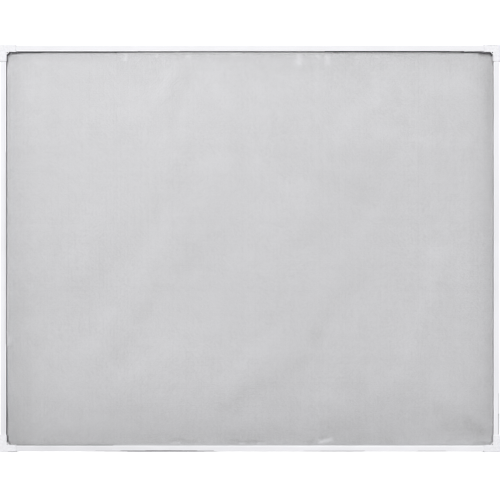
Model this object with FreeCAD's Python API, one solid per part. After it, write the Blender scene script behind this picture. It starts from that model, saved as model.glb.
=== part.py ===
import FreeCAD, Part
import math
import os

# Window screen frame: four hollow white rails, four moulded sleeve corners that hold them square,
# an insect screen cloth tucked into a groove at the back, and a spline cord on each side that locks it.
#
# Frame of the part: X runs along the width, +Y points at the back (the window's side), +Z is up.
# The origin is the middle of the bottom edge, at half the depth.
#
# The pieces are drawn in three measures, and place() moves them to the frame of the part:
#   x      from the middle of the frame
#   level  how far behind the rails' front face
#   z      height over the underside of the bottom rail
# An inset is how far a line lies inside the rails' outer outline, on any side.

# Overall size over the rails
frame_width = 1200.0
frame_height = 975.0

# Rail profile
rail_face = 14.0
rail_depth = 9.0
rail_wall = 1.0
outer_edge_radius = 0.8
back_edge_radius = 0.4
step_width = 2.8
step_drop = 0.4
step_radius = 0.3

# Spline groove at the rail's back, with the leg that the cloth turns over
leg_wall = 1.2
leg_drop = 0.8
leg_radius = 0.3
groove_width = 3.0
groove_depth = 3.6
groove_undercut = 0.3
groove_lip = 1.0

# Corner mouldings: a sleeve over the rail ends, tongues inside them, and a braced inner corner
sleeve_wall = 1.8
sleeve_front = 1.2
sleeve_arm = 40.0
sleeve_gap = 0.1
sleeve_edge_bevel = 0.9
sleeve_corner_radius = 1.5
rail_end_gap = 0.1
brace_leg = 7.0
pinhole_radius = 1.2
pinhole_offset = 1.3
tongue_length = 32.0
tongue_gap = 0.15
tongue_lead = 4.0
tongue_taper = 1.0

# Screen cloth: a thin wall with a plain grid of openings, which leaves bands of yarn between them. The
# bands cover about as much of the opening as all the yarn does, and have a ridge for each of their threads:
# upright warp on the front, level weft on the back.
cloth_wall = 0.2
tuck_wall = 0.25
tail_drop = 0.3
gaps_across = 12
gaps_up = 10
band_width = 20.0
gap_margin = 2.0
warp_pitch = 1.41
weft_pitch = 1.59
ridge_height = 0.15
ridge_foot = 0.5
ridge_crown = 0.2
ridge_margin = 0.4
skirt_gap = 0.05

# Spline cord, with fine ribs along it
spline_ribs = 12
spline_rib_depth = 0.12
spline_ease = 0.02
spline_end_gap = 0.3

# Places that follow from the sizes above
half_width = frame_width / 2
leg_inset = rail_face - leg_wall
groove_inset = leg_inset - groove_width
divider_inset = groove_inset - groove_undercut - rail_wall
step_inset = rail_face - step_width
leg_level = rail_depth - leg_drop
groove_floor = rail_depth - groove_depth
front_level = -sleeve_gap - sleeve_front
sleeve_outside = -sleeve_gap - sleeve_wall
sleeve_inside = rail_face + sleeve_gap + sleeve_wall
sleeve_end = sleeve_outside + sleeve_arm
skirt_level = leg_level - ridge_height - skirt_gap
tuck_outer = groove_inset + tuck_wall
tuck_inner = leg_inset - tuck_wall
tuck_floor = groove_floor + tuck_wall
cloth_back = leg_level + cloth_wall
ridge_inset = rail_face + ridge_margin
spline_inset = (tuck_outer + tuck_inner) / 2
spline_radius = (tuck_inner - tuck_outer) / 2 - spline_ease
spline_level = tuck_floor + spline_ease + spline_radius
overall_depth = rail_depth - front_level
past = 1.0
same_place = 1e-6

BACKWARD = FreeCAD.Vector(0, 1, 0)


def place(shape):
    """Moves a finished shape so that the origin is at the bottom edge's middle, at half the depth."""
    shape.translate(FreeCAD.Vector(0, overall_depth / 2 - rail_depth, -sleeve_outside))
    return shape


def rounded_wire(corners):
    """A closed wire through (point, radius) corners, with a tangent arc where the radius isn't 0."""
    arcs = []
    ends = []
    for i, (here, radius) in enumerate(corners):
        if radius == 0:
            ends.append((here, here))
            continue
        to_before = (corners[i - 1][0] - here).normalize()
        to_after = (corners[(i + 1) % len(corners)][0] - here).normalize()
        half_angle = to_before.getAngle(to_after) / 2
        setback = radius / math.tan(half_angle)
        start = here + to_before * setback
        stop = here + to_after * setback
        crown = here + (to_before + to_after).normalize() * (radius / math.sin(half_angle) - radius)
        arcs.append(Part.Arc(start, crown, stop).toShape())
        ends.append((start, stop))
    lines = [Part.makeLine(ends[i - 1][1], ends[i][0]) for i in range(len(ends))]
    return Part.Wire(Part.__sortEdges__(arcs + lines))


def slab(inset, low_level, high_level):
    """A rectangular slab that fills the frame from one inset inwards, between two levels."""
    width = frame_width - 2 * inset
    height = frame_height - 2 * inset
    corner = FreeCAD.Vector(inset - half_width, low_level, inset)
    return Part.makeBox(width, high_level - low_level, height, corner)


def ring(outer_inset, inner_inset, low_level, high_level):
    """A rectangular ring round the whole frame, between two insets and two levels."""
    return slab(outer_inset, low_level, high_level).cut(slab(inner_inset, low_level, high_level))


def rail_section():
    """The rail's hollow section in (level, inset): a stepped front, a box chamber and a spline groove."""
    outline = [
        (0, 0, outer_edge_radius),
        (0, step_inset, step_radius),
        (step_drop, step_inset, 0),
        (step_drop, rail_face, outer_edge_radius),
        (leg_level, rail_face, leg_radius),
        (leg_level, leg_inset, leg_radius),
        (leg_level - groove_lip, leg_inset, 0),
        (leg_level - groove_lip, leg_inset + groove_undercut, 0),
        (groove_floor, leg_inset + groove_undercut, 0),
        (groove_floor, groove_inset - groove_undercut, 0),
        (rail_depth - groove_lip, groove_inset - groove_undercut, 0),
        (rail_depth - groove_lip, groove_inset, 0),
        (rail_depth, groove_inset, 0),
        (rail_depth, 0, back_edge_radius),
    ]
    chamber = [
        (rail_wall, rail_wall),
        (rail_wall, step_inset - rail_wall),
        (rail_wall + step_drop, step_inset - rail_wall),
        (rail_wall + step_drop, rail_face - rail_wall),
        (groove_floor - rail_wall, rail_face - rail_wall),
        (groove_floor - rail_wall, divider_inset),
        (rail_depth - rail_wall, divider_inset),
        (rail_depth - rail_wall, rail_wall),
    ]
    outside = rounded_wire([(FreeCAD.Vector(0, level, inset), radius) for level, inset, radius in outline])
    inside = rounded_wire([(FreeCAD.Vector(0, level, inset), 0) for level, inset in chamber])
    return Part.Face(outside).cut(Part.Face(inside)).Faces[0]


def along_bottom(section, length):
    """A section extruded along X, centred on the middle of the bottom side."""
    section.translate(FreeCAD.Vector(-length / 2, 0, 0))
    return section.extrude(FreeCAD.Vector(length, 0, 0))


def to_side(shape, side):
    """Carries a shape made on the bottom side to another: 0 bottom, 1 left, 2 top, 3 right."""
    across = frame_height if side % 2 == 0 else frame_width
    shape.translate(FreeCAD.Vector(0, 0, -across / 2))
    shape.rotate(FreeCAD.Vector(), BACKWARD, 90 * side)
    shape.translate(FreeCAD.Vector(0, 0, frame_height / 2))
    return shape


def side_length(side):
    """The length of a side over the rails' outer edges."""
    return frame_width if side % 2 == 0 else frame_height


def rail(side):
    """A square-cut rail that ends just short of the corner's block at both ends."""
    length = side_length(side) - 2 * (rail_face + rail_end_gap)
    return to_side(along_bottom(rail_section(), length), side)


def corner_box(x_low, x_high, level_low, level_high, z_low, z_high):
    """A box in the corner's own measures, x and z being insets from the two sides that meet there."""
    size = (x_high - x_low, level_high - level_low, z_high - z_low)
    return Part.makeBox(*size, FreeCAD.Vector(x_low, level_low, z_low))


def sleeve_block():
    """The corner's L with its brace, as a block with bevelled front edges and a rounded outer corner."""
    outline = [
        (sleeve_outside, sleeve_outside, sleeve_corner_radius),
        (sleeve_end, sleeve_outside, 0),
        (sleeve_end, sleeve_inside, 0),
        (sleeve_inside + brace_leg, sleeve_inside, 0),
        (sleeve_inside, sleeve_inside + brace_leg, 0),
        (sleeve_inside, sleeve_end, 0),
        (sleeve_outside, sleeve_end, 0),
    ]
    wire = rounded_wire([(FreeCAD.Vector(x, front_level, z), radius) for x, z, radius in outline])
    block = Part.Face(wire).extrude(FreeCAD.Vector(0, overall_depth, 0))
    front_edges = [e for e in block.Edges if all(abs(v.Y - front_level) < same_place for v in e.Vertexes)]
    return block.makeChamfer(sleeve_edge_bevel, front_edges)


def tongue():
    """The plug that fills a rail's box chamber, along +X from the corner's block, with a tapered lead."""
    low = rail_wall + tongue_gap
    inset_high = divider_inset - tongue_gap
    level_high = rail_depth - rail_wall - tongue_gap

    def tapered(high, to_point, travel):
        lead_start = rail_face + tongue_length - tongue_lead
        tip = rail_face + tongue_length
        outline = [
            (rail_face, low),
            (lead_start, low),
            (tip, low + tongue_taper),
            (tip, high - tongue_taper),
            (lead_start, high),
            (rail_face, high),
        ]
        points = [to_point(x, across) for x, across in outline]
        return Part.Face(Part.makePolygon(points + points[:1])).extrude(travel)

    plan = tapered(inset_high, lambda x, z: FreeCAD.Vector(x, low, z), FreeCAD.Vector(0, level_high - low, 0))
    side = tapered(level_high, lambda x, y: FreeCAD.Vector(x, y, low), FreeCAD.Vector(0, 0, inset_high - low))
    return plan.common(side)


def corner_moulding():
    """One corner in its own measures: the sleeve, its block with the turning groove, and two tongues."""
    back = rail_depth + past
    reach = sleeve_end + past
    bay_low = -sleeve_gap
    bay_high = rail_face + sleeve_gap
    cuts = [
        corner_box(rail_face, reach, -sleeve_gap, back, bay_low, bay_high),
        corner_box(bay_low, bay_high, -sleeve_gap, back, rail_face, reach),
        corner_box(rail_face, reach, skirt_level, back, rail_face, reach),
        corner_box(leg_inset, reach, leg_level, back, leg_inset, reach),
        corner_box(groove_inset, reach, groove_floor, back, groove_inset, leg_inset),
        corner_box(groove_inset, leg_inset, groove_floor, back, groove_inset, reach),
    ]
    pinhole_place = sleeve_inside + pinhole_offset
    pinhole_start = FreeCAD.Vector(pinhole_place, front_level - past, pinhole_place)
    cuts.append(Part.makeCylinder(pinhole_radius, overall_depth + 2 * past, pinhole_start, BACKWARD))
    level_tongue = tongue()
    upright_tongue = tongue().mirror(FreeCAD.Vector(), FreeCAD.Vector(1, 0, -1))
    return sleeve_block().cut(cuts).fuse([level_tongue, upright_tongue]).removeSplitter().Solids[0]


def corner(turns):
    """A corner turned to its place: 0 bottom left, 1 top left, 2 top right, 3 bottom right."""
    shape = corner_moulding()
    shape.rotate(FreeCAD.Vector(), BACKWARD, 90 * turns)
    x = -half_width if turns in (0, 1) else half_width
    z = 0 if turns in (0, 3) else frame_height
    shape.translate(FreeCAD.Vector(x, 0, z))
    return shape


def gap_places(span, count):
    """Where the openings start along one direction of the field, from its middle, and their shared size."""
    size = (span - 2 * gap_margin - (count - 1) * band_width) / count
    first = gap_margin - span / 2
    return [first + i * (size + band_width) for i in range(count)], size


def ridge_middles(span, gaps, pitch):
    """The middles of the threads on the bands between the openings, along one direction of the field."""
    starts, _ = gap_places(span, gaps)
    count = int((band_width - ridge_foot) // pitch) + 1
    first = -(band_width + pitch * (count - 1)) / 2
    return [start + first + i * pitch for start in starts[1:] for i in range(count)]


def ridged_half(span, middles, base_level, face_level, crown_level, to_point, travel):
    """Half of the cloth's wall, with a ridge at each middle: a comb outline over the span, extruded by travel."""
    outline = [(-span / 2, base_level), (-span / 2, face_level)]
    for middle in middles:
        outline.append((middle - ridge_foot / 2, face_level))
        outline.append((middle - ridge_crown / 2, crown_level))
        outline.append((middle + ridge_crown / 2, crown_level))
        outline.append((middle + ridge_foot / 2, face_level))
    outline += [(span / 2, face_level), (span / 2, base_level)]
    points = [to_point(along, level) for along, level in outline]
    return Part.Face(Part.makePolygon(points + points[:1])).extrude(travel)


def gap_blocks(field_width, field_height):
    """A block for each opening of the cloth, past its ridges on both sides."""
    x_starts, gap_width = gap_places(field_width, gaps_across)
    z_starts, gap_height = gap_places(field_height, gaps_up)
    low_level = leg_level - ridge_height - past
    depth = cloth_wall + 2 * (ridge_height + past)
    blocks = []
    for x in x_starts:
        for z in z_starts:
            corner = FreeCAD.Vector(x, low_level, frame_height / 2 + z)
            blocks.append(Part.makeBox(gap_width, depth, gap_height, corner))
    return blocks


def screen_cloth():
    """The stretched cloth: a field of bands over the opening, a rim on the legs, a tuck in the groove."""
    middle_level = leg_level + cloth_wall / 2
    field_width = frame_width - 2 * ridge_inset
    field_height = frame_height - 2 * ridge_inset
    warp = ridged_half(
        field_width,
        ridge_middles(field_width, gaps_across, warp_pitch),
        middle_level,
        leg_level,
        leg_level - ridge_height,
        lambda along, level: FreeCAD.Vector(along, level, ridge_inset),
        FreeCAD.Vector(0, 0, field_height),
    )
    weft = ridged_half(
        field_height,
        ridge_middles(field_height, gaps_up, weft_pitch),
        middle_level,
        cloth_back,
        cloth_back + ridge_height,
        lambda along, level: FreeCAD.Vector(-field_width / 2, level, frame_height / 2 + along),
        FreeCAD.Vector(field_width, 0, 0),
    )
    rim = ring(tuck_inner, ridge_inset, leg_level, cloth_back)
    inner_tuck = ring(tuck_inner, leg_inset, groove_floor, leg_level)
    tuck_base = ring(groove_inset, tuck_inner, groove_floor, tuck_floor)
    tail = ring(groove_inset, tuck_outer, tuck_floor, rail_depth - tail_drop)
    cloth = warp.fuse([weft, rim, inner_tuck, tuck_base, tail]).removeSplitter()
    return cloth.cut(gap_blocks(field_width, field_height)).Solids[0]


def spline(side):
    """A ribbed cord in the groove; the level ones run into the corners and the upright ones stop at them."""
    end_inset = tuck_outer if side % 2 == 0 else spline_inset + spline_radius
    length = side_length(side) - 2 * (end_inset + spline_end_gap)
    points = []
    for i in range(2 * spline_ribs):
        radius = spline_radius - spline_rib_depth * (i % 2)
        angle = math.pi * i / spline_ribs
        level = spline_level + radius * math.sin(angle)
        points.append(FreeCAD.Vector(0, level, spline_inset + radius * math.cos(angle)))
    section = Part.Face(Part.makePolygon(points + points[:1]))
    return to_side(along_bottom(section, length), side)


def pieces():
    """Every piece of the screen, by name."""
    sides = ["bottom", "left", "top", "right"]
    turns = ["bottom_left", "top_left", "top_right", "bottom_right"]
    made = {"screen_cloth": screen_cloth()}
    for number, name in enumerate(sides):
        made["rail_" + name] = rail(number)
        made["spline_" + name] = spline(number)
    for number, name in enumerate(turns):
        made["corner_" + name] = corner(number)
    return made


os.makedirs("parts", exist_ok=True)
for name, shape in pieces().items():
    place(shape).exportStep(f"parts/{name}.step")
    print(name, shape.ShapeType, "solids", len(shape.Solids), "valid", shape.isValid(), round(shape.Volume, 1))
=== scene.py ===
# %% [markdown]
# # A window screen
# The rails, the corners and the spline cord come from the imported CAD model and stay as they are: they
# only get their finishes here. The cloth is the part that a solid can't show, so its threads are made
# in this file. Everything is in metres, with the front of the screen facing -Y and the bottom edge at
# z = 0.

# %% The frame
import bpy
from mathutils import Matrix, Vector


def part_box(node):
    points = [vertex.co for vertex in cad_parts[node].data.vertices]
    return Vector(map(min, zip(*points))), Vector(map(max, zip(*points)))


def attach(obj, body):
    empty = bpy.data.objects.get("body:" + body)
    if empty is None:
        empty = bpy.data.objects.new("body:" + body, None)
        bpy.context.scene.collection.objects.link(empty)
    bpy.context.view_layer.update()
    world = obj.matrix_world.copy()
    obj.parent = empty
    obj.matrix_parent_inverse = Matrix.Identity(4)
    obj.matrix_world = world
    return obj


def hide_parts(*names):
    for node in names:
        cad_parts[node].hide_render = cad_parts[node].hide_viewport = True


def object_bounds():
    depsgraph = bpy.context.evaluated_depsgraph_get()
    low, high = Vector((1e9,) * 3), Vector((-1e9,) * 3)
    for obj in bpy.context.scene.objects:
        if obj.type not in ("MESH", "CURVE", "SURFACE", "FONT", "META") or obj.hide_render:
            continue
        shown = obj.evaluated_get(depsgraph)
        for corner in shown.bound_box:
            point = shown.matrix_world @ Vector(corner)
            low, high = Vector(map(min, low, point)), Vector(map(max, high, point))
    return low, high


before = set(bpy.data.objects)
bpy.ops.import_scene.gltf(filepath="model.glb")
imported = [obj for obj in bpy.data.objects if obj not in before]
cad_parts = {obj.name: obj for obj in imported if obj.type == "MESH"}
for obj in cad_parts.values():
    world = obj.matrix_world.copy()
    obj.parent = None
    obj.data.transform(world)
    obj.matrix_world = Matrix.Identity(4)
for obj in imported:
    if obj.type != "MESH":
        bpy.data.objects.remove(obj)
cad_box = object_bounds()
print("nodes:", ", ".join(sorted(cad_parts)))

# %% [markdown]
# ## Where things are
# A node's box says where the rails' faces and outer edges are, so nothing is measured twice.

# %% Places read from the frame
import math

import bpy
import numpy as np
from mathutils import Vector

MM = 0.001
TINY = 1e-12
corner_front = cad_box[0].y
centre_z = (cad_box[0].z + cad_box[1].z) / 2
rail_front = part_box("rail_top")[0].y
rail_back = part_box("rail_top")[1].y
outer_half_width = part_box("rail_right")[1].x
outer_half_height = (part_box("rail_top")[1].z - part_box("rail_bottom")[0].z) / 2
print(f"rails {2 * outer_half_width:.4f} x {2 * outer_half_height:.4f} m, front {rail_front:.5f}")

# %% [markdown]
# ## Small helpers for node materials
# Each finish is a Principled shader fed by a few texture nodes. One helper adds a node and either links
# or sets each of its inputs, and a few more name the sums that come up often. That keeps a material as
# short as its description.

# %% Node helpers
def add_node(tree, kind, inputs=(), **settings):
    """Adds a node. inputs pairs a socket's name or number with a value, or with an output to link."""
    node = tree.nodes.new(kind)
    for name, value in settings.items():
        setattr(node, name, value)
    for name, value in dict(inputs).items():
        if isinstance(value, bpy.types.NodeSocket):
            tree.links.new(value, node.inputs[name])
        else:
            node.inputs[name].default_value = value
    return node


def calc(tree, operation, first, second=0.0):
    """One sum on two values, such as ADD or MULTIPLY. ABSOLUTE leaves the second one out."""
    node = add_node(tree, "ShaderNodeMath", {0: first, 1: second}, operation=operation)
    return node.outputs["Value"]


def vector_calc(tree, operation, first, second):
    """One sum on two vectors. It gives a vector, or a plain value for DOT_PRODUCT and DISTANCE."""
    node = add_node(tree, "ShaderNodeVectorMath", {0: first, 1: second}, operation=operation)
    return node.outputs["Value" if operation in ("DOT_PRODUCT", "DISTANCE") else "Vector"]


def scaled(tree, vector, scale):
    """A vector, or a colour, times a plain value."""
    node = add_node(
        tree, "ShaderNodeVectorMath", {0: vector, "Scale": scale}, operation="SCALE"
    )
    return node.outputs["Vector"]


def place_on_piece(tree):
    """Object coordinates: metres in the frame, because every piece's object sits at the origin."""
    return add_node(tree, "ShaderNodeTexCoord").outputs["Object"]


def spread(tree, value, low, high, begin=0.3, end=0.7, smooth=False):
    """Stretches a value's range, begin to end, over low to high: evenly, or smooth with gentle ends.
    Without begin and end the range is a noise's usual one."""
    node = add_node(
        tree,
        "ShaderNodeMapRange",
        {"Value": value, "From Min": begin, "From Max": end, "To Min": low, "To Max": high},
        interpolation_type="SMOOTHSTEP" if smooth else "LINEAR",
    )
    return node.outputs["Result"]


# %% [markdown]
# A finish starts as a bare Principled shader. Its unevenness comes from noise, which is cheap, has no
# seam and no repeat, and follows the piece when it moves, where an image would have to be laid out and
# painted.

# %% Finish helpers
def new_finish(name, roughness, specular=0.5):
    """A material with only a Principled shader, and that shader, with its plain numbers set."""
    finish = bpy.data.materials.new(name)
    finish.use_nodes = True
    finish.node_tree.nodes.clear()
    shader = add_node(
        finish.node_tree,
        "ShaderNodeBsdfPrincipled",
        {"Roughness": roughness, "Specular IOR Level": specular},
    )
    add_node(finish.node_tree, "ShaderNodeOutputMaterial", {"Surface": shader.outputs["BSDF"]})
    return finish, shader


def blotches(tree, size, detail=2.0, stretch=(1.0, 1.0, 1.0)):
    """A noise value whose blotches are about size metres across, drawn out by stretch on each axis."""
    scale = tuple(1.0 / (size * s) for s in stretch)
    turned = add_node(
        tree, "ShaderNodeMapping", {"Vector": place_on_piece(tree), "Scale": scale}
    )
    noise = add_node(
        tree,
        "ShaderNodeTexNoise",
        {"Vector": turned.outputs["Vector"], "Scale": 1.0, "Detail": detail},
    )
    return noise.outputs["Fac"]


def between(tree, value, dark, light):
    """A colour from dark to light, by a value from 0 to 1."""
    mix = add_node(tree, "ShaderNodeMix", data_type="RGBA")
    tree.links.new(value, mix.inputs["Factor"])
    for name, colour in (("A", dark), ("B", light)):
        socket = next(s for s in mix.inputs if s.name == name and s.type == "RGBA")
        socket.default_value = (*colour, 1.0)
    return next(s for s in mix.outputs if s.type == "RGBA")


def roughen(tree, shader, height, depth):
    """Bumps the shader's surface by depth metres where the height value goes from 0 to 1."""
    bump = add_node(
        tree, "ShaderNodeBump", {"Height": height, "Strength": 1.0, "Distance": depth}
    )
    tree.links.new(bump.outputs["Normal"], shader.inputs["Normal"])


def finish_nodes(start, finish):
    """Puts a finish on each CAD node whose name begins with start."""
    names = [name for name in sorted(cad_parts) if name.startswith(start)]
    for name in names:
        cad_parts[name].data.materials.clear()
        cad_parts[name].data.materials.append(finish)
    print(finish.name, "on", ", ".join(names))


# %% [markdown]
# ## Strokes of tone
# No real surface looks one even tone: there is shade in a seam, light on an edge, a crease in cloth. A
# noise can't be put in a chosen place, so a stroke paints such light and shade, or tone, where it goes,
# like one touch of a soft brush. It goes from one place to another, in millimetres right of the middle
# and up from the bottom edge, with a half width in millimetres and a strength. Below zero is darker,
# above is paler. The tone fades smoothly from the line to the half width. A stroke that ends where it
# starts is a round dot.

# %% Tone from strokes
def toned(tree, colour, tone):
    """A colour times 1 + tone."""
    return scaled(tree, colour, calc(tree, "ADD", tone, 1.0))


def together(tree, tones):
    """The sum of several tones."""
    total = tones[0]
    for tone in tones[1:]:
        total = calc(tree, "ADD", total, tone)
    return total


def stroke_tone(tree, strokes):
    """Sum of the strokes' tones, as seen from the front. The share of the way along the line that lies
    nearest is held between its ends, and the distance to that place fades into the strength. A
    dot's run is nothing, and TINY takes its place in the division."""
    flat = vector_calc(tree, "MULTIPLY", place_on_piece(tree), (1.0, 0.0, 1.0))
    fades = []
    for x0, z0, x1, z1, half_width, strength in strokes:
        start = np.array((x0, 0.0, z0)) * MM
        run = np.array((x1, 0.0, z1)) * MM - start
        away = vector_calc(tree, "SUBTRACT", flat, tuple(start))
        per_run = tuple(run / max(run.dot(run), TINY))
        share = vector_calc(tree, "DOT_PRODUCT", away, per_run)
        held = add_node(tree, "ShaderNodeClamp", {"Value": share}).outputs["Result"]
        off = vector_calc(tree, "DISTANCE", away, scaled(tree, tuple(run), held))
        reach = half_width * MM
        fades.append(spread(tree, off, strength, 0.0, begin=0.0, end=reach, smooth=True))
    return together(tree, fades)


# %% [markdown]
# ## White powder coat
# The rails are roll-formed aluminium with a baked powder coat. It is satin, not glossy, and has the faint
# orange peel that powder leaves, about a millimetre from crest to crest. The peel is far too fine for
# the mesh, so it is a bump, and the tone drifts a little along a rail.
#
# The strokes paint into the coat's colour the light and shade that real rails show and straight, clean
# solids don't: painted highlights on the rounded edge round the opening, a painted dark line under the
# top rail, painted shade on the side rails' inner edges and along the bottom rail, and painted shade in
# the gap where the bottom rail stands a little off the wall.

# %% The rails' strokes
inner_x = 586.0
inner_z = (15.9, 962.9)
lip_x = 587.4
lip_z = (14.5, 964.3)
gap_z = 2.6
rail_strokes = [
    # painted highlights on the rounded edge round the opening
    (-570, lip_z[1], 240, lip_z[1], 1.7, 0.08),
    (245, lip_z[1], 500, lip_z[1], 1.7, 0.04),
    (-570, lip_z[0], 570, lip_z[0], 1.7, 0.06),
    (-lip_x, 30, -lip_x, 950, 1.7, 0.05),
    (lip_x, 30, lip_x, 950, 1.7, 0.05),
    (-570, 964.6, -170, 964.6, 1.8, 0.09),
    # painted shade: the dark line under the top rail, faint at its left end
    (-570, inner_z[1], -270, inner_z[1], 0.2, -0.14),
    (-269, inner_z[1], -171, inner_z[1], 0.4, -0.70),
    (-170, inner_z[1], 30, inner_z[1], 0.9, -0.80),
    (31, inner_z[1], 180, inner_z[1], 0.7, -0.80),
    (181, inner_z[1], 515, inner_z[1], 1.0, -0.80),
    (180, inner_z[1] + 0.5, 480, inner_z[1] + 0.5, 1.0, -0.45),
    # painted shade and light on the side rails' inner edges and below the top right corner
    (-inner_x, 30, -inner_x, 950, 0.5, -0.10),
    (-587.2, 260, -587.2, 720, 1.6, -0.26),
    (inner_x, 30, inner_x, 480, 0.5, 0.05),
    (-inner_x, 240, -inner_x, 400, 0.5, 0.12),
    (588, 937.0, 600, 937.0, 2.0, 0.08),
    # painted shade on the bottom rail's inner edge, and its left end painted a little darker than its
    # right
    (-570, inner_z[0], 570, inner_z[0], 1.0, -0.20),
    (-560, inner_z[0], -330, inner_z[0], 1.3, -0.28),
    (-450, 8, -380, 8, 420, -0.08),
    (330, 8, 480, 8, 200, 0.02),
    # painted shade in the gap under the bottom rail, with a painted highlight over its deepest stretch
    (-330, 6.8, -120, 6.8, 2.2, 0.06),
    (-370, gap_z, -313, gap_z, 2.8, -0.20),
    (-310, gap_z, -253, gap_z, 2.8, -0.60),
    (-250, gap_z, -163, gap_z, 2.8, -0.82),
    (-160, gap_z, -128, gap_z, 2.8, -0.74),
    (-125, gap_z, -88, gap_z, 2.8, -0.42),
    (130, gap_z, 167, gap_z, 2.8, -0.16),
    (170, gap_z, 275, gap_z, 2.8, -0.27),
    (405, gap_z, 470, gap_z, 2.8, -0.22),
    # the right rail's outer edge
    (598, 44, 598, 90, 3.4, -0.34),
    (598, 90, 598, 140, 3.0, -0.18),
    (600, 560, 600, 690, 2.4, -0.14),
]
print(len(rail_strokes), "strokes on the rails")

# %% Powder coat
coat_white = (0.87, 0.87, 0.895)
coat_drift = 90 * MM
coat_drift_tone = (-0.05, 0.0)
coat_gloss_patch = 12 * MM
coat_roughness = (0.50, 0.60)
peel_size = 1.1 * MM
peel_depth = 0.012 * MM


def powder_coat():
    """White satin coat: a slow drift of tone plus the strokes' painted light and shade, a fine orange
    peel in the bump, slightly uneven gloss.
    """
    finish, shader = new_finish("white_coat", roughness=0.55, specular=0.35)
    tree = finish.node_tree
    drift = spread(tree, blotches(tree, coat_drift), *coat_drift_tone)
    tone = together(tree, [drift, stroke_tone(tree, rail_strokes)])
    gloss = spread(tree, blotches(tree, coat_gloss_patch), *coat_roughness)
    tree.links.new(toned(tree, coat_white, tone), shader.inputs["Base Color"])
    tree.links.new(gloss, shader.inputs["Roughness"])
    roughen(tree, shader, blotches(tree, peel_size, detail=1.0), peel_depth)
    return finish


finish_nodes("rail_", powder_coat())

# %% [markdown]
# ## White moulded plastic
# The corners are injection moulded, so they are a little duller and more mottled than the rails, with a
# fine spark-eroded grain. Each one has a small pinhole behind its brace. The CAD model cuts it, and a
# dark dot that only begins below the corner's face is painted shade down in it. Strokes paint shade
# and light along the corners' braces and edges.

# %% The corners' strokes
pinhole_x = 582.8
pinhole_z = (19.1, 959.7)
# painted shade: a dark dot in each pinhole
pinholes = [(x, z, x, z, 3.0, -0.98) for x in (-pinhole_x, pinhole_x) for z in pinhole_z]
corner_strokes = [
    # painted shade along the brace and the inner edges of the top left corner
    (-577, 961, -560, 961, 0.5, -0.45),
    (-577, 961, -584, 954, 0.9, -0.62),
    (-584, 954, -584, 936, 1.2, -0.30),
    # top right: painted shade on the brace and upper edge, painted light at the end of its sleeve
    (577, 961, 560, 961, 0.5, -0.20),
    (577, 961, 584, 954, 0.7, -0.45),
    (573, 978, 592, 978, 2.4, -0.20),
    (588, 938.4, 602, 938.4, 1.6, 0.11),
    # bottom left: painted shade on the inner edges, the brace and in the gap under it
    (-584, 23, -584, 43, 1.0, -0.32),
    (-584, 25, -577, 18, 1.2, -0.40),
    (-577, 17.8, -562, 17.8, 1.2, -0.42),
    (-580, 1, -564, 1, 2.4, -0.40),
    # bottom right: painted shade on brace and inner edges; painted light and shade on the lower edge
    (584, 25, 577, 18, 1.3, -0.42),
    (577, 17.8, 562, 17.8, 1.2, -0.20),
    (584, 25, 584, 43, 1.2, -0.20),
    (562, 1, 564, 1, 2.0, 0.08),
    (585, 1, 600, 1, 2.4, -0.10),
]
print(len(corner_strokes), "strokes on the corners,", len(pinholes), "pinholes")

# %% Moulding
moulding_white = (0.876, 0.876, 0.903)
mottle_size = 4 * MM
mottle_tone = (-0.09, 0.03)
moulding_roughness = (0.45, 0.62)
grain_size = 0.6 * MM
grain_depth = 0.02 * MM
pinhole_shade_from = corner_front + 0.2 * MM
pinhole_shade_full = corner_front + 0.8 * MM


def moulded_white():
    """White plastic: mottling a few millimetres across, a fine even grain, the strokes' painted light
    and shade, and painted shade in the pinholes.
    """
    finish, shader = new_finish("white_moulding", roughness=0.55, specular=0.35)
    tree = finish.node_tree
    mottle = spread(tree, blotches(tree, mottle_size, detail=3.0), *mottle_tone)
    # painted shade in the pinholes, only below the corner's face
    depth = add_node(tree, "ShaderNodeSeparateXYZ", {0: place_on_piece(tree)}).outputs["Y"]
    sunk = spread(tree, depth, 0.0, 1.0, begin=pinhole_shade_from, end=pinhole_shade_full)
    pinhole_shade = calc(tree, "MULTIPLY", stroke_tone(tree, pinholes), sunk)
    tone = together(tree, [mottle, stroke_tone(tree, corner_strokes), pinhole_shade])
    gloss = spread(tree, blotches(tree, mottle_size), *moulding_roughness)
    tree.links.new(toned(tree, moulding_white, tone), shader.inputs["Base Color"])
    tree.links.new(gloss, shader.inputs["Roughness"])
    roughen(tree, shader, blotches(tree, grain_size, detail=2.0), grain_depth)
    return finish


finish_nodes("corner_", moulded_white())

# %% [markdown]
# ## Spline cord
# The cord that locks the cloth is soft foamed vinyl: dark grey, matt, with tiny pores. One noise gives
# the pores both their colour and their bump, so that a dark spot is also a hollow.

# %% Foamed vinyl
vinyl_dark = (0.045, 0.045, 0.048)
vinyl_light = (0.085, 0.085, 0.09)
pore_size = 0.5 * MM
pore_depth = 0.03 * MM


def foamed_vinyl():
    """Matt grey vinyl: pores half a millimetre across in colour and bump."""
    finish, shader = new_finish("grey_spline", roughness=0.7, specular=0.3)
    tree = finish.node_tree
    pores = blotches(tree, pore_size, detail=3.0)
    colour = between(tree, spread(tree, pores, 0.0, 1.0), vinyl_dark, vinyl_light)
    tree.links.new(colour, shader.inputs["Base Color"])
    roughen(tree, shader, pores, pore_depth)
    return finish


finish_nodes("spline_", foamed_vinyl())

# %% [markdown]
# ## The cloth's threads
# Insect mesh is glass yarn coated in grey vinyl, 18 upright threads to the inch and 16 level ones. An
# opening is about 1.1 by 1.3 mm, far too fine to cut into a solid. A see-through pattern on a flat
# sheet would be quick, but it has no thickness from the side and is lost in an exported mesh. So each
# thread is its own closed three-sided rod. In real mesh the threads go over and under each other by
# turns, and the coating fuses each crossing. That would take a bend at every crossing, half a million
# of them, and can't be seen at this size, so the upright warp simply lies in front of the level weft.
#
# Seen from above, a thread crosses the opening, lies over the rail's inner leg, goes down the groove's
# inner wall, along its floor under the spline, and up the outer wall, where a knife has trimmed it.

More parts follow.
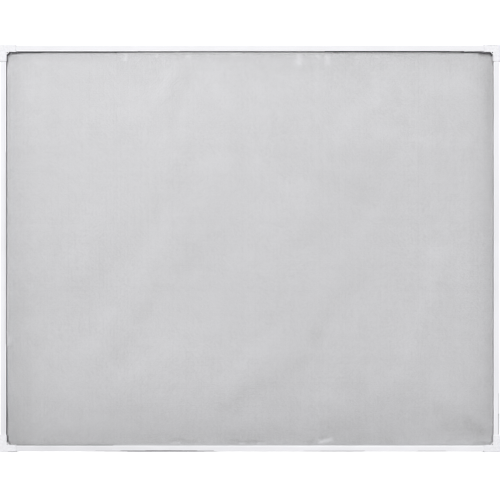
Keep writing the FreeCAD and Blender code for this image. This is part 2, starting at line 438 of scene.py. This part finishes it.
# %% The cloth's sizes
INCH = 0.0254
thread_width = 0.30 * MM
warp_pitch = INCH / 18
weft_pitch = INCH / 16
groove_inner_inset = 12.67 * MM
groove_crossing = 2.77 * MM
leg_inset = 14.0 * MM
leg_level = rail_back - 0.66 * MM
floor_level = rail_back - 3.47 * MM
tail_level = rail_back - 0.3 * MM
layer_shift = 0.13 * MM
cloth_level = rail_back - 0.70 * MM
half_across = outer_half_width - groove_inner_inset
half_up = outer_half_height - groove_inner_inset
leg_width = leg_inset - groove_inner_inset
wall_drop = leg_level - floor_level
tail_rise = tail_level - floor_level
print(f"span between grooves {2 * half_across:.4f} x {2 * half_up:.4f} m")

# %% [markdown]
# A point of the cloth has two flat coordinates, its run across and its run up from the middle, measured
# along the cloth. Past the groove's edge the run no longer goes outwards: it goes down the wall, along
# the floor and up again. Straight lines between a few marks say that, so np.interp is all it takes.

# %% From the flat cloth to its place
lift_run = 5 * MM


def trimmed_end(half):
    """Run at which the knife has trimmed the cloth: past the wall, the floor and the outer wall."""
    return half + wall_drop + groove_crossing + tail_rise


def place_along(run, half):
    """Outward place for a run: equal up to half, still down the wall, on over the floor, still again."""
    marks = np.cumsum([0.0, half, wall_drop, groove_crossing, tail_rise])
    places = [0.0, half, half, half + groove_crossing, half + groove_crossing]
    return np.sign(run) * np.interp(np.abs(run), marks, places)


def level_along(run, half, layer):
    """Depth for a run: the layer's own level in the opening, over the leg, down to the floor and up to
    the tail. The cloth rises onto the leg over the last lift_run."""
    foot = half + wall_drop
    over_leg = max(layer, leg_level)
    marks = [0.0, half - leg_width - lift_run, half - leg_width, half]
    marks += [foot, foot + groove_crossing, foot + groove_crossing + tail_rise]
    levels = [layer, layer, over_leg, over_leg, floor_level, floor_level, tail_level]
    return np.interp(np.abs(run), marks, levels)


print(f"cloth across {2 * trimmed_end(half_across):.4f} m, up {2 * trimmed_end(half_up):.4f} m")

# %% [markdown]
# The cloth isn't quite flat. It has soft slanting waves a hand's width apart, rising from lower left to
# upper right, and it is pulled tight at the edges. The waves are under a millimetre high: enough to bend
# the light, too little to touch the wall behind.

# %% Soft waves
wave_height = 0.7 * MM
tight_rim = 0.06
short_wave = 0.23
long_wave = 0.41
long_wave_turn = 0.9
long_wave_start = 1.1
meander = 0.35
meander_length = 0.31
slant_way = (0.77, -0.64)
cross_way = (0.45, 0.89)
short_share = 0.6
long_share = 0.4


def wave_at(across, up):
    """Depth of the waves: a share of a short slanting sine wave that meanders, and a share of a long
    one. Both fade to nothing at the edge, by the square of how much of the tight rim is crossed."""
    edge = np.minimum(half_across - np.abs(across), half_up - np.abs(up))
    fade = np.clip(edge / tight_rim, 0.0, 1.0) ** 2
    slant = across * slant_way[0] + up * slant_way[1]
    cross = across * cross_way[0] + up * cross_way[1]
    short = np.sin(2 * np.pi * (slant / short_wave + meander * np.sin(cross / meander_length)))
    long = np.sin(2 * np.pi * (slant / long_wave + cross / long_wave_turn) + long_wave_start)
    return wave_height * fade * (short_share * short + long_share * long)


print(f"waves up to {wave_height / MM:.1f} mm high, nothing at the rim")

# %% [markdown]
# A loom doesn't space its threads perfectly, and that is what gives the cloth its fine streaks: each
# thread sits a few hundredths of a millimetre off and is a few percent thicker or thinner than the next.

# %% Thread places
loom = np.random.default_rng(18)
warp_unevenness = 0.03
weft_unevenness = 0.022
shift_share = 0.7
points_across_opening = 9


def thread_lines(half, pitch, uneven):
    """Flat places of the threads between the two trimmed edges, each with its own shift and width."""
    count = int(2 * trimmed_end(half) / pitch)
    lines = (np.arange(count) - (count - 1) / 2) * pitch
    lines += loom.normal(0.0, uneven * shift_share * pitch, count)
    widths = thread_width * (1.0 + loom.normal(0.0, uneven, count))
    return lines, widths


def stations(half):
    """Runs along a thread where it gets a ring of points: one at each bend, and some across the opening
    that stand closer towards its edges, by the sine of an even step."""
    leg_edge = half - leg_width
    bends = np.cumsum([half, wall_drop, groove_crossing, tail_rise])
    steps = np.linspace(-1, 1, points_across_opening + 2)[1:-1]
    middle = np.sin(steps * np.pi / 2) * leg_edge
    return np.concatenate([-bends[::-1], [-leg_edge], middle, [leg_edge], bends])


warp_lines, warp_widths = thread_lines(half_across, warp_pitch, warp_unevenness)
weft_lines, weft_widths = thread_lines(half_up, weft_pitch, weft_unevenness)
print(len(warp_lines), "warp and", len(weft_lines), "weft threads, rings:", len(stations(half_up)))

# %% [markdown]
# Every thread of one direction has the same number of points, so all of them are one array: thread,
# station, corner of the rod, and x, y, z. The rod's ring stands square to the thread's own line. A
# thread that lies in a groove stops short of the groove that crosses it, as it does where the corner of
# the cloth is cut off.

# %% Threads of one direction
groove_end_gap = 4 * MM
ring_turns = np.radians([-90.0, 30.0, 150.0])


def thread_rods(lines, widths, half_along, half_side, layer, upright):
    """Corner points of all rods, shaped (threads, stations, 3, 3).
    Line: place and level from the two runs, where a groove's level wins over the other one's.
    Ring: three points at 120 degrees round the line, one of them in front."""
    along = np.tile(stations(half_along), (len(lines), 1))
    side = np.repeat(lines[:, None], along.shape[1], axis=1)
    in_groove = np.abs(side) > half_side
    shorter = along * (half_along - groove_end_gap) / np.abs(along).max()
    along = np.where(in_groove, shorter, along)
    run_level = level_along(along, half_along, layer)
    side_level = level_along(side, half_side, layer)
    level = np.maximum(run_level, side_level)
    level = np.where(np.abs(along) > half_along, run_level, level)
    level = np.where(in_groove, side_level, level)
    run_place = place_along(along, half_along)
    side_place = place_along(side, half_side)
    across, up = (side_place, run_place) if upright else (run_place, side_place)
    level = level + wave_at(across, up)
    run_step = np.gradient(run_place, axis=1)
    level_step = np.gradient(level, axis=1)
    length = np.hypot(run_step, level_step) + TINY
    radius = widths[:, None, None] / math.sqrt(3)
    out = radius * np.sin(ring_turns)
    run_points = run_place[..., None] - (level_step / length)[..., None] * out
    level_points = level[..., None] + (run_step / length)[..., None] * out
    side_points = side_place[..., None] + radius * np.cos(ring_turns)
    if upright:
        return np.stack([side_points, level_points, run_points + centre_z], axis=-1)
    return np.stack([run_points, level_points, side_points + centre_z], axis=-1)


def rod_faces(rods, first, flip):
    """Quads round each rod and a triangle on each end, as lists of point numbers starting at first."""
    count, steps, corners, _ = rods.shape
    number = first + np.arange(count * steps * corners).reshape(count, steps, corners)
    after = np.roll(number, -1, axis=2)
    sides = [number[:, :-1], after[:, :-1], after[:, 1:], number[:, 1:]]
    quads = np.stack(sides, axis=-1).reshape(-1, 4)
    caps = np.concatenate([number[:, 0, ::-1], number[:, -1]])
    if flip:
        quads, caps = quads[:, ::-1], caps[:, ::-1]
    return quads.tolist() + caps.tolist()


# %% [markdown]
# Both directions go into one mesh. Swapping the two runs mirrors a rod, so the weft's faces are turned
# round. The volume is the sum of the tetrahedra from the origin to each triangle, and it only comes out
# above zero when the faces point outwards.

# %% The cloth as one mesh
warp = thread_rods(warp_lines, warp_widths, half_up, half_across, cloth_level - layer_shift, True)
weft = thread_rods(weft_lines, weft_widths, half_across, half_up, cloth_level + layer_shift, False)
points = np.concatenate([warp.reshape(-1, 3), weft.reshape(-1, 3)])
faces = rod_faces(warp, 0, False) + rod_faces(weft, warp.size // 3, True)
cloth_mesh = bpy.data.meshes.new("screen_threads")
cloth_mesh.from_pydata(points.tolist(), [], faces)
cloth_mesh.shade_smooth()
cloth = bpy.data.objects.new("screen_threads", cloth_mesh)
bpy.context.scene.collection.objects.link(cloth)
cloth_mesh.calc_loop_triangles()
triangles = np.array([t.vertices for t in cloth_mesh.loop_triangles])
a, b, c = (points[triangles[:, k]] for k in range(3))
volume = float(np.einsum("ij,ij->i", a, np.cross(b, c)).sum() / 6)
print(len(triangles), "triangles in the cloth, volume", volume)

# %% [markdown]
# ## Folds in the cloth
# The cloth has been rolled up in store, so soft creases cross it from lower left to upper right. Where
# the yarn leans to the light it looks paler, and where it leans away it looks darker. Real folds would
# need far more points on every thread, so the creases are painted light and shade in the yarn's colour.
# Each is a route of places, in millimetres right of the middle and up from the bottom edge, with a half
# width and a strength. A route becomes one stroke a stretch. Where two stretches meet, each ends half a
# half width short, because two smooth fades that far apart add up to exactly one.

# %% Creases
def strokes_of(route, half_width, strength):
    """One stroke for each stretch of the route, cut short by half the half width where two meet."""
    places = [np.array(place, dtype=float) for place in route]
    strokes = []
    for number, (start, end) in enumerate(zip(places[:-1], places[1:])):
        short = (end - start) / np.linalg.norm(end - start) * half_width / 2
        begin = start + short if number > 0 else start
        stop = end - short if number < len(places) - 2 else end
        strokes.append((*begin, *stop, half_width, strength))
    return strokes


crease_shades = [
    (((-150, 730), (-180, 640), (-245, 585), (-345, 450), (-415, 395)), 50, -0.16),
    (((-130, 475), (-170, 440)), 38, -0.27),
    (((-215, 395), (-270, 318), (-325, 228)), 34, -0.22),
    (((-60, 515), (-165, 510)), 34, -0.09),
    (((280, 430), (215, 375), (165, 290)), 36, -0.17),
    (((160, 282), (105, 195), (-5, 140), (-60, 105)), 36, -0.24),
    (((180, 650), (275, 640)), 38, -0.19),
    (((230, 710), (330, 720)), 36, -0.11),
    (((310, 690), (265, 610)), 40, -0.12),
    (((75, 780), (75, 715), (150, 670)), 42, -0.14),
    (((-40, 760), (-40, 725)), 36, -0.14),
    (((-160, 895), (-200, 820)), 48, -0.18),
    (((-200, 785), (-270, 770)), 26, -0.08),
    (((10, 940), (80, 925)), 34, -0.13),
    (((140, 945), (140, 860)), 26, -0.10),
    (((205, 920), (265, 900)), 44, -0.13),
    (((-320, 95), (-210, 90)), 42, -0.19),
    (((-290, 45), (-140, 60)), 46, -0.10),
    (((70, 440), (70, 370)), 32, -0.08),
    (((115, 515), (225, 535)), 32, -0.10),
    (((400, 590), (405, 545)), 28, -0.08),
    (((280, 300), (280, 245)), 38, -0.07),
]
crease_highlights = [
    (((-195, 925), (-215, 870), (-295, 815)), 34, 0.14),
    (((-85, 915), (-65, 850)), 44, 0.15),
    (((350, 930), (315, 865), (255, 825), (215, 755)), 42, 0.21),
    (((430, 895), (510, 890)), 46, 0.20),
    (((305, 778), (345, 770)), 36, 0.26),
    (((405, 755), (430, 745)), 34, 0.23),
    (((480, 745), (520, 745)), 34, 0.10),
    (((-110, 685), (-70, 700)), 40, 0.17),
    (((20, 690), (15, 670)), 26, 0.14),
    (((120, 645), (80, 620), (30, 560)), 50, 0.09),
    (((-180, 565), (-205, 530), (-270, 435), (-310, 375), (-375, 300), (-400, 250)), 44, 0.10),
    (((-370, 580), (-395, 505), (-425, 465)), 38, 0.12),
    (((-392, 245), (-372, 290), (-340, 325)), 34, 0.15),
    (((-50, 330), (60, 600)), 150, 0.08),
    (((230, 112), (340, 118)), 40, 0.09),
    (((310, 572), (270, 545), (215, 485), (185, 450), (160, 385)), 40, 0.14),
    (((55, 270), (30, 240), (-20, 215), (-65, 170)), 42, 0.24),
    (((-100, 150), (-190, 115)), 40, 0.08),
    (((-185, 255), (-225, 225)), 36, 0.17),
    (((-270, 205), (-305, 180)), 46, 0.25),
    (((-425, 170), (-460, 155)), 44, 0.12),
    (((150, 140), (205, 150), (185, 115)), 48, 0.17),
    (((300, 160), (355, 175), (375, 235), (410, 340), (435, 410), (440, 480)), 38, 0.21),
    (((430, 495), (520, 480)), 52, 0.12),
    (((465, 165), (475, 118)), 62, 0.28),
    (((-30, 75), (10, 95)), 40, 0.18),
    (((-20, 470), (-40, 450)), 34, 0.09),
    (((-80, 400), (-100, 370)), 40, 0.08),
    (((-540, 890), (-535, 860)), 44, 0.20),
    (((-550, 790), (-500, 790)), 30, 0.08),
    (((30, 825), (35, 815)), 28, 0.10),
]
creases = [stroke for crease in crease_shades + crease_highlights for stroke in strokes_of(*crease)]
print(len(creases), "strokes of creases")

# %% [markdown]
# The rails stand in front of the cloth and keep some light off its rim, most of all on the right and
# along the bottom, and that shade is painted into the yarn's colour. And where the spline was rolled in
# unevenly, the rim has puckers: short folds with painted highlights at the top, and small waves of
# painted light and shade at the bottom.

# %% Shade and puckers at the rim
edge_shades = [
    # right and left
    (583, 80, 583, 930, 26, -0.45),
    (578, 800, 578, 950, 24, -0.35),
    (-577, 0, -577, 330, 110, -0.28),
    (-580, 20, -575, 90, 45, -0.22),
    # top
    (-520, 955, 320, 955, 15, -0.18),
    (330, 952, 560, 952, 13, -0.22),
    (-310, 930, 510, 930, 30, -0.20),
    # bottom
    (-560, 22, 330, 22, 42, -0.32),
    (-560, 18.5, -310, 18.5, 4.5, -0.35),
    (173, 63, 264, 67, 30, -0.22),
    # painted shade behind the braces, and on two slanting folds towards the lower right corner
    (545, 20, 580, 20, 8, -0.60),
    (-578, 20, -545, 20, 8, -0.50),
    (556, 953, 580, 953, 9, -0.50),
    (452, 101, 518, 72, 26, -0.38),
    (529, 67, 590, 39, 22, -0.52),
    (470, 60, 556, 42, 24, -0.34),
]
puckers = [
    # painted highlights on short folds that hang from the top rail
    (-300, 959, -300, 947, 9, 0.95),
    (-225, 959, -224, 954, 8, 0.80),
    (-149, 959, -149, 952, 8, 0.80),
    (-101, 959, -101, 955, 7, 0.75),
    (-47, 959, -34, 957, 7, 0.70),
    (118, 959, 118, 935, 12, 0.85),
    (160, 959, 168, 951, 8, 0.70),
    (186, 959, 190, 937, 12, 0.85),
    # a painted highlight on one at the left rail
    (-581, 274, -581, 260, 8, 0.80),
    # three small arches along the bottom rail: painted shade above, painted highlight below
    (-190, 23, -182, 28, 6, -0.60),
    (-180, 29, -165, 29, 6, -0.70),
    (-160, 27, -150, 24, 6, -0.55),
    (-145, 24, -130, 26, 7, -0.50),
    (-190, 19, -172, 20, 5, 0.75),
    (-43, 27, -30, 27, 6, -0.60),
    (-26, 23, -8, 21, 6, -0.70),
    (-3, 24, 12, 25, 7, -0.90),
    (17, 23, 32, 21, 6, -0.70),
    (-24, 18, -12, 19, 5, 1.20),
    (20, 19, 36, 19, 5, 1.20),
    (142, 18, 152, 27, 6, -0.60),
    (168, 33, 182, 35, 7, -0.40),
    (170, 22, 196, 28, 8, 1.60),
]
print(len(edge_shades), "edge shades,", len(puckers), "puckers")

# %% [markdown]
# ## Vinyl-coated yarn
# The coating is mid grey and slightly glossy. A single thread is far narrower than the blotches below, so
# they show as cloth does from afar: fine streaks along both thread directions, a grain of a few
# openings, and a slow drift. The painted light and shade of the creases, edge shades and puckers is
# added to theirs.

# %% Yarn
yarn_grey = (0.291, 0.29, 0.305)
streak_width = 3 * MM
streak_length = 40.0
streak_tone = 0.05
cloth_grain = 3 * MM
cloth_grain_tone = 0.42
cloth_drift = 35 * MM
cloth_drift_tone = 0.12


def yarn():
    """Grey vinyl yarn: a base grey times 1 + the sum of the painted light and shade of the folds, rim
    and puckers, and the streaks, grain and drift.
    """
    finish, shader = new_finish("grey_mesh", roughness=0.5)
    tree = finish.node_tree
    patterns = [
        (blotches(tree, streak_width, 1.0, (1.0, 1.0, streak_length)), streak_tone),
        (blotches(tree, streak_width, 1.0, (streak_length, 1.0, 1.0)), streak_tone),
        (blotches(tree, cloth_grain, 2.0), cloth_grain_tone),
        (blotches(tree, cloth_drift, 3.0), cloth_drift_tone),
    ]
    tones = [stroke_tone(tree, creases + edge_shades + puckers)]
    tones += [spread(tree, pattern, -most, most) for pattern, most in patterns]
    tone = together(tree, tones)
    tree.links.new(toned(tree, yarn_grey, tone), shader.inputs["Base Color"])
    return finish


cloth_mesh.materials.append(yarn())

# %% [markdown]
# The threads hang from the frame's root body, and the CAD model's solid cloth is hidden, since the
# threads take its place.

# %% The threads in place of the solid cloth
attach(cloth, "root")
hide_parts("screen_cloth")

# %% [markdown]
# ## Stage
# The screen hangs 3 mm in front of a white wall, over a pale floor. The wall is one-sided: seen from
# behind it lets the eye through, as a studio wall that is taken away for a view of the back.

# %% Wall and floor
wall_gap = 3 * MM
wall_y = rail_back + wall_gap
stage_reach = 6.0
wall_top = 5.0
floor_z = -0.9


def plane(name, corners_at):
    """A flat four-cornered face through the given points, in order."""
    mesh = bpy.data.meshes.new(name)
    mesh.from_pydata(corners_at, [], [(0, 1, 2, 3)])
    made = bpy.data.objects.new(name, mesh)
    bpy.context.scene.collection.objects.link(made)
    return made


wall = plane(
    "wall",
    [
        (-stage_reach, wall_y, floor_z),
        (stage_reach, wall_y, floor_z),
        (stage_reach, wall_y, wall_top),
        (-stage_reach, wall_y, wall_top),
    ],
)
floor = plane(
    "floor",
    [
        (-stage_reach, -stage_reach, floor_z),
        (stage_reach, -stage_reach, floor_z),
        (stage_reach, stage_reach, floor_z),
        (-stage_reach, stage_reach, floor_z),
    ],
)
print("wall at y", round(wall_y, 5), "floor at z", floor_z)

# %% [markdown]
# What the cloth looks like depends on what is seen through its openings, which are more than half of it.
# So the wall's own glow does the work of the light on a real wall: it is plain white round the screen,
# and behind the cloth it is dim at the bottom, grows upwards and sinks towards the sides, as the light
# behind a real screen does. It only shows to the eye and in reflections, and lights nothing.
#
# Two lists of strokes go with it. Contact shades are painted shadow: they darken the wall right under
# the bottom rail, where the screen stands off it. Light leaks are painted light close inside the rails,
# where light gets in past the cloth, or painted shade where the rail keeps it out.

# %% Strokes on the wall
contact_z = -2.5
leak_z = 962.5
line_z = 963.6
leak_x = 587.0
contact_shades = [
    (-400, contact_z, -355, contact_z, 4.5, -0.12),
    (-350, contact_z, -301, contact_z, 4.5, -0.35),
    (-296, contact_z, -152, contact_z, 4.5, -0.85),
    (-147, contact_z, -112, contact_z, 4.5, -0.82),
    (-107, contact_z, -80, contact_z, 4.5, -0.58),
    (-75, contact_z, 130, contact_z, 4.5, -0.15),
    (135, contact_z, 165, contact_z, 4.5, -0.28),
    (170, contact_z, 270, contact_z, 4.5, -0.45),
    (275, contact_z, 400, contact_z, 4.5, -0.15),
    (405, contact_z, 470, contact_z, 4.5, -0.28),
    (475, contact_z, 560, contact_z, 4.5, -0.15),
]
light_leaks = [
    # light under the top rail
    (-500, leak_z, -330, leak_z, 4.5, 0.22),
    (-320, leak_z, -20, leak_z, 4.5, 0.40),
    (-10, leak_z, 200, leak_z, 4.5, 0.32),
    (220, leak_z, 460, leak_z, 4.5, 0.17),
    (200, 960.3, 540, 960.3, 2.8, 0.14),
    (-40, 960.6, 180, 960.6, 2.8, 0.12),
    # the dark line right at that rail's edge
    (-560, line_z, -270, line_z, 1.7, -0.66),
    (-268, line_z, -182, line_z, 1.7, -0.36),
    (-180, line_z, 10, line_z, 1.7, -0.10),
    (12, line_z, 180, line_z, 1.7, -0.20),
    (512, line_z, 560, line_z, 1.7, -0.45),
    # shade and light beside the two upper corners
    (556, 961.2, 582, 961.2, 2.6, -0.40),
    (556, 957.5, 582, 955.5, 5.0, -0.28),
    (-576, 961.4, -556, 961.4, 2.4, -0.35),
    (-576, 957.2, -556, 957.2, 3.0, 0.14),
    # light beside the right rail and the left one
    (leak_x, 520, leak_x, 930, 2.6, 0.50),
    (leak_x, 60, leak_x, 517, 2.6, 0.32),
    (588.4, 60, 588.4, 590, 2.6, 0.35),
    (-leak_x, 255, -leak_x, 930, 3.5, 0.55),
    (-leak_x, 230, -leak_x, 420, 3.5, 0.25),
    (-leak_x, 110, -leak_x, 230, 3.5, 0.25),
]
print(len(contact_shades), "contact shades,", len(light_leaks), "light leaks")

# %% The wall's glow
around_glow = 0.6
low_glow = 0.205
low_from, low_to = -0.12, 0.31
high_glow = 0.075
high_from, high_to = 0.38, 0.85
lean_left, lean_right, lean_reach = 1.75, 0.3, 0.5
side_glow = 0.85
left_side_from, right_side_from = -0.25, 0.10
left_rim_glow, left_rim = 0.66, 80 * MM
right_rim_glow, right_rim = 0.52, 75 * MM
rail_face = 14 * MM
rail_cover, rail_cover_end = -10 * MM, -8 * MM
brace_cover, brace_cover_end = -33 * MM, -30 * MM
outline_blur = 1 * MM


def past_rails(tree, value, middle, half):
    """How far a place lies past the rails' outer edge in one direction. Inside it is below zero."""
    far = calc(tree, "ABSOLUTE", calc(tree, "SUBTRACT", value, middle))
    return calc(tree, "SUBTRACT", far, half)


def wall_glow(tree):
    """The wall's glow by place. Behind the cloth it is a low part that grows quickly with height, plus a
    high part that grows slowly and leans to the left, plus the light leaks, and that sum is dimmed
    towards the sides. Behind rails and braces it is nothing. All round them it is plain white."""
    parts = add_node(tree, "ShaderNodeSeparateXYZ", {0: place_on_piece(tree)})
    x, z = parts.outputs["X"], parts.outputs["Z"]
    side = outer_half_width
    reach = [
        past_rails(tree, x, 0.0, side),
        past_rails(tree, z, centre_z, outer_half_height),
    ]
    most = calc(tree, "MAXIMUM", reach[0], reach[1])
    low_part = spread(tree, z, 0.0, low_glow, begin=low_from, end=low_to, smooth=True)
    high_part = spread(tree, z, 0.0, high_glow, begin=high_from, end=high_to)
    lean = spread(tree, x, lean_left, lean_right, begin=-lean_reach, end=lean_reach)
    leaning = calc(tree, "MULTIPLY", high_part, lean)
    glow = together(tree, [low_part, leaning, stroke_tone(tree, light_leaks)])
    shares = [
        spread(tree, x, side_glow, 1.0, begin=-side, end=left_side_from),
        spread(tree, x, 1.0, side_glow, begin=right_side_from, end=side),
        spread(tree, x, left_rim_glow, 1.0, begin=rail_face - side, end=left_rim - side),
        spread(tree, x, 1.0, right_rim_glow, begin=side - right_rim, end=side - rail_face),
        spread(tree, most, 1.0, 0.0, begin=rail_cover, end=rail_cover_end),
        spread(tree, together(tree, reach), 1.0, 0.0, begin=brace_cover, end=brace_cover_end),
    ]
    for share in shares:
        glow = calc(tree, "MULTIPLY", glow, share)
    around = spread(tree, most, 0.0, around_glow, begin=-outline_blur, end=outline_blur)
    shade = calc(tree, "ADD", stroke_tone(tree, contact_shades), 1.0)
    return together(tree, [glow, calc(tree, "MULTIPLY", around, shade)])


# %% [markdown]
# Both stage surfaces are matt white, plus a glow that Light Path shows to the eye and to reflections
# only. The wall's geometry says which side is seen, and its back is clear. Neither of them sends light
# to a matt surface, so they don't brighten the screen: they are seen behind it and in its gloss.

# %% Matt white that glows to the eye
matt_colour = (0.88, 0.88, 0.893, 1.0)
glow_colour = (0.992, 0.99, 1.0, 1.0)
floor_glow = 0.5


def seen_ray(tree):
    """1 for a ray that the eye, a gloss or a clear surface sends, 0 for light that only bounces."""
    path = add_node(tree, "ShaderNodeLightPath")
    seen = path.outputs["Is Camera Ray"]
    for kind in ("Is Glossy Ray", "Is Transmission Ray"):
        seen = calc(tree, "MAXIMUM", seen, path.outputs[kind])
    return seen


def matt_white(name, glow_for, one_sided=False):
    """Matt white that also glows to the eye, by what glow_for gives for a place."""
    finish = bpy.data.materials.new(name)
    finish.use_nodes = True
    tree = finish.node_tree
    tree.nodes.clear()
    matt = add_node(tree, "ShaderNodeBsdfDiffuse", {"Color": matt_colour})
    shown = calc(tree, "MULTIPLY", seen_ray(tree), glow_for(tree))
    light = add_node(tree, "ShaderNodeEmission", {"Color": glow_colour, "Strength": shown})
    surface = add_node(
        tree, "ShaderNodeAddShader", {0: matt.outputs["BSDF"], 1: light.outputs["Emission"]}
    )
    if one_sided:
        behind = add_node(tree, "ShaderNodeNewGeometry").outputs["Backfacing"]
        clear = add_node(tree, "ShaderNodeBsdfTransparent")
        surface = add_node(
            tree,
            "ShaderNodeMixShader",
            {0: behind, 1: surface.outputs["Shader"], 2: clear.outputs["BSDF"]},
        )
    add_node(tree, "ShaderNodeOutputMaterial", {"Surface": surface.outputs["Shader"]})
    return finish


wall.data.materials.append(matt_white("wall_white", wall_glow, one_sided=True))
floor.data.materials.append(matt_white("floor_white", lambda tree: floor_glow))
wall.visible_shadow = False
wall.visible_diffuse = False
floor.visible_diffuse = False
print("stage:", wall.name, "and", floor.name)

# %% [markdown]
# ## Light
# One large softbox does most of the work. It stands far in front and a little above, so that its light
# is soft and even over the whole width. A small one behind is only for views of the back. The world adds
# a little light from everywhere, more from above than from below, and to the eye it is plain white.

# %% Lamps and world
key_place = (-0.8, -16.5, 6.0)
key_size = 6.9
key_power = 2630.0
back_place = (-2.0, 5.0, 3.0)
back_size = 2.0
back_power = 160.0
fill_colour = (0.99, 0.99, 1.0, 1.0)
fill_below, fill_above = 0.07, 0.35
fill_from, fill_to = -0.3, 0.5
white = (1.0, 1.0, 1.0, 1.0)


def softbox(name, place, size, power):
    """A square area lamp at place, turned so that it shines on the middle of the screen."""
    lamp = bpy.data.lights.new(name, "AREA")
    lamp.shape = "RECTANGLE"
    lamp.size = size
    lamp.size_y = size
    lamp.energy = power
    box = bpy.data.objects.new(name, lamp)
    box.location = place
    aim = Vector((0.0, 0.0, centre_z)) - Vector(place)
    box.rotation_euler = aim.to_track_quat("-Z", "Y").to_euler()
    box.visible_camera = False
    bpy.context.scene.collection.objects.link(box)


softbox("key_softbox", key_place, key_size, key_power)
softbox("back_softbox", back_place, back_size, back_power)

world = bpy.data.worlds.new("studio")
bpy.context.scene.world = world
world.use_nodes = True
sky = world.node_tree
sky.nodes.clear()
direction = add_node(sky, "ShaderNodeTexCoord").outputs["Generated"]
upwards = add_node(sky, "ShaderNodeSeparateXYZ", {0: direction}).outputs["Z"]
fill_strength = spread(sky, upwards, fill_below, fill_above, begin=fill_from, end=fill_to)
fill = add_node(sky, "ShaderNodeBackground", {"Color": fill_colour, "Strength": fill_strength})
plain = add_node(sky, "ShaderNodeBackground", {"Color": white, "Strength": 1.0})
mixed = add_node(
    sky,
    "ShaderNodeMixShader",
    {0: seen_ray(sky), 1: fill.outputs["Background"], 2: plain.outputs["Background"]},
)
add_node(sky, "ShaderNodeOutputWorld", {"Surface": mixed.outputs["Shader"]})
print("lamps:", ", ".join(sorted(light.name for light in bpy.data.lights)))

# %% [markdown]
# ## Camera
# The screen is looked at square on. The rails' outer width fills the picture from edge to edge, so the
# lens follows from the distance: what is view_width wide at the rails' front fills the sensor. The pixel
# filter is a little narrower than usual, wide enough that the threads don't beat against the pixels.

# %% Camera
camera_distance = 1.7
view_width = 1.2015
camera_x = 0.0002
camera_drop = 0.0038
pixel_filter = 1.15
lens = bpy.data.cameras.new("camera")
lens.sensor_width = 36.0
lens.lens = lens.sensor_width * camera_distance / view_width
camera = bpy.data.objects.new("camera", lens)
camera.location = (camera_x, rail_front - camera_distance, centre_z - camera_drop)
camera.rotation_euler = (math.pi / 2, 0.0, 0.0)
bpy.context.scene.collection.objects.link(camera)
bpy.context.scene.camera = camera
bpy.context.scene.view_settings.view_transform = "Standard"
bpy.context.scene.cycles.filter_width = pixel_filter
print(f"lens {lens.lens:.2f} mm at {camera_distance} m")
